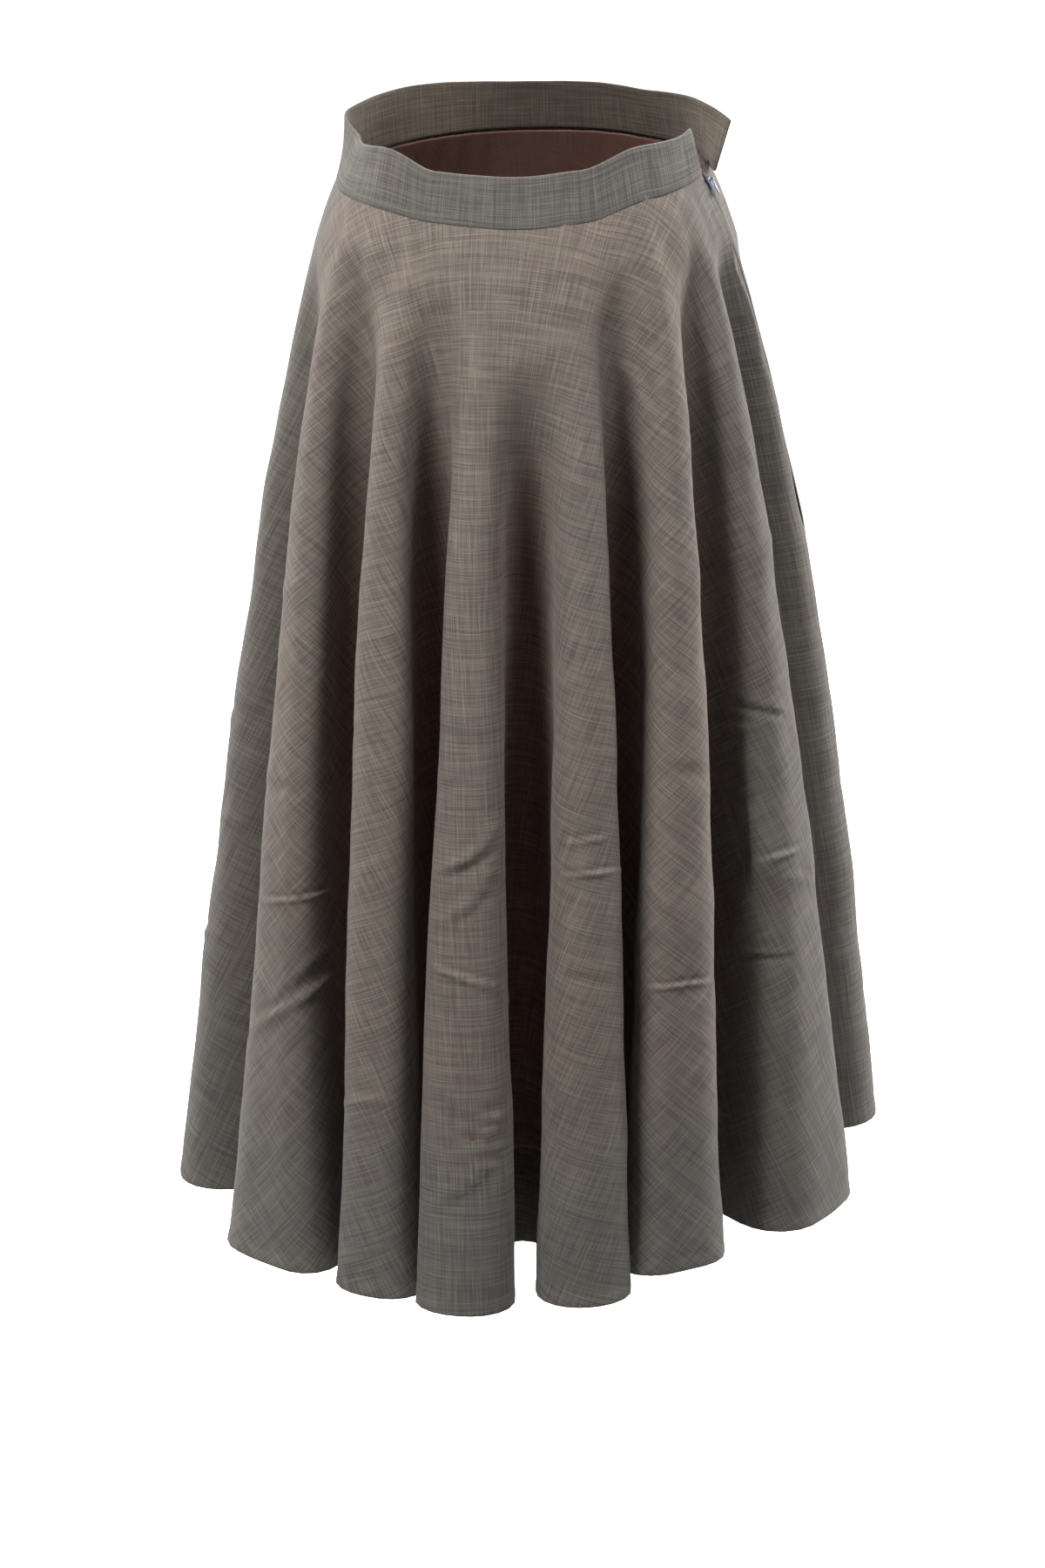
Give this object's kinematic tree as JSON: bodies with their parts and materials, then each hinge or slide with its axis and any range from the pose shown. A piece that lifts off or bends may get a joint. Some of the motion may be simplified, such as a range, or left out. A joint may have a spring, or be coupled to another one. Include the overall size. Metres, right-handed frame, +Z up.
{
  "type": "midi skirt",
  "caption": "Full-circle midi skirt in light wool with a plain waistband and a closed side zip, hanging in deep flutes as worn with nobody inside.",
  "frame": {"origin": "middle of the waist ring, at the level of its middle height, where the wearer's waist holds the skirt up", "axes": "+Z up along the body, -Y towards the wearer's front, +X towards the wearer's left, where the zip is"},
  "size_m": [0.541, 0.5644, 0.8355],
  "materials": {
    "wool": "matt plain-weave wool, greenish grey with fine irregular light and dark threads both ways",
    "lining": "smooth reddish-brown lining with a soft sheen",
    "tape": "matt woven zip tape",
    "zip_metal": "satin blue-grey metal"
  },
  "bodies": {
    "skirt": {"skirt_front": "wool", "skirt_back": "wool", "waistband": "wool", "lining_front": "lining", "lining_back": "lining", "zip_tape": "tape", "zip_chain": "zip_metal", "zip_slider": "zip_metal"},
    "zip_pull": {"zip_pull": "zip_metal"}
  },
  "joints": [
    {"name": "zip_pull_hinge", "type": "hinge", "parent": "skirt", "child": "zip_pull", "pos_m": [0.13722, -0.0265, -0.02187], "axis": [-0.2309, -0.9666, -0.1113], "range_deg": [0, 150]}
  ]
}
